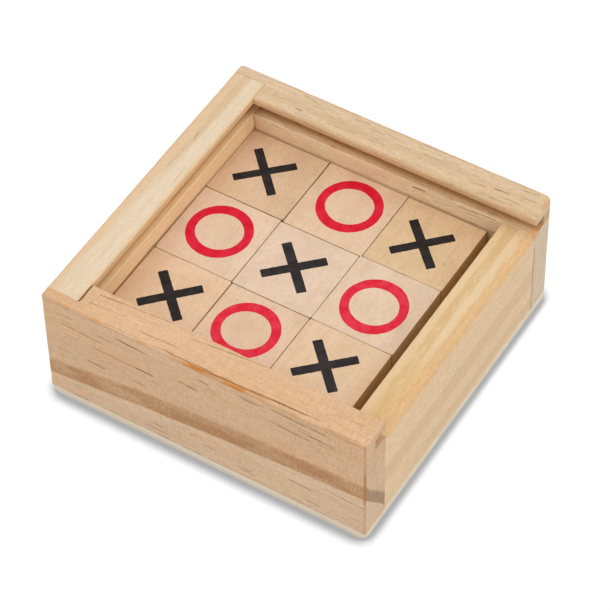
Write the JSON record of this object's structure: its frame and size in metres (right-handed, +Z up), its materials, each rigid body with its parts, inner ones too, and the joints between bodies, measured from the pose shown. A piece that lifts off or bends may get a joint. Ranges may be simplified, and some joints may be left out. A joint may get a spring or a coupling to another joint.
{
  "type": "tic tac toe set",
  "caption": "Square pine tray with lid grooves and a low end wall, holding loose wooden cubes printed with black crosses and red rings for noughts and crosses.",
  "frame": {"origin": "centre of the tray's underside, on the table", "axes": "+Z up; +X from the closed end wall to the low, open end wall, the way a lid would slide out; +Y from the front wall to the back wall"},
  "size_m": [0.1, 0.1, 0.0403],
  "materials": {
    "base_plywood": "sanded, unfinished",
    "front_pine": "sanded, unfinished",
    "back_pine": "sanded, unfinished",
    "closed_end_pine": "sanded, unfinished",
    "open_end_pine": "sanded, unfinished",
    "block_wood": "sanded, unfinished",
    "black_ink": "matt printed ink",
    "red_ink": "matt printed ink"
  },
  "bodies": {
    "tray": {"base_panel": "base_plywood", "front_wall": "front_pine", "back_wall": "back_pine", "closed_end_wall": "closed_end_pine", "open_end_wall": "open_end_pine"},
    "back_left": {"block_back_left": "block_wood", "x_mark_back_left": "black_ink"},
    "back_mid": {"block_back_mid": "block_wood", "o_mark_back_mid": "red_ink"},
    "back_right": {"block_back_right": "block_wood", "x_mark_back_right": "black_ink"},
    "mid_left": {"block_mid_left": "block_wood", "o_mark_mid_left": "red_ink"},
    "centre": {"block_centre": "block_wood", "x_mark_centre": "black_ink"},
    "mid_right": {"block_mid_right": "block_wood", "o_mark_mid_right": "red_ink"},
    "front_left": {"block_front_left": "block_wood", "x_mark_front_left": "black_ink"},
    "front_mid": {"block_front_mid": "block_wood", "o_mark_front_mid": "red_ink"},
    "front_right": {"block_front_right": "block_wood", "x_mark_front_right": "black_ink"}
  },
  "joints": [
    {"name": "lift_back_left", "type": "slide", "parent": "tray", "child": "back_left", "axis": [0, 0, 1], "range_m": [0, 0.045]},
    {"name": "lift_back_mid", "type": "slide", "parent": "tray", "child": "back_mid", "axis": [0, 0, 1], "range_m": [0, 0.045]},
    {"name": "lift_back_right", "type": "slide", "parent": "tray", "child": "back_right", "axis": [0, 0, 1], "range_m": [0, 0.045]},
    {"name": "lift_mid_left", "type": "slide", "parent": "tray", "child": "mid_left", "axis": [0, 0, 1], "range_m": [0, 0.045]},
    {"name": "lift_centre", "type": "slide", "parent": "tray", "child": "centre", "axis": [0, 0, 1], "range_m": [0, 0.045]},
    {"name": "lift_mid_right", "type": "slide", "parent": "tray", "child": "mid_right", "axis": [0, 0, 1], "range_m": [0, 0.045]},
    {"name": "lift_front_left", "type": "slide", "parent": "tray", "child": "front_left", "axis": [0, 0, 1], "range_m": [0, 0.045]},
    {"name": "lift_front_mid", "type": "slide", "parent": "tray", "child": "front_mid", "axis": [0, 0, 1], "range_m": [0, 0.045]},
    {"name": "lift_front_right", "type": "slide", "parent": "tray", "child": "front_right", "axis": [0, 0, 1], "range_m": [0, 0.045]}
  ]
}
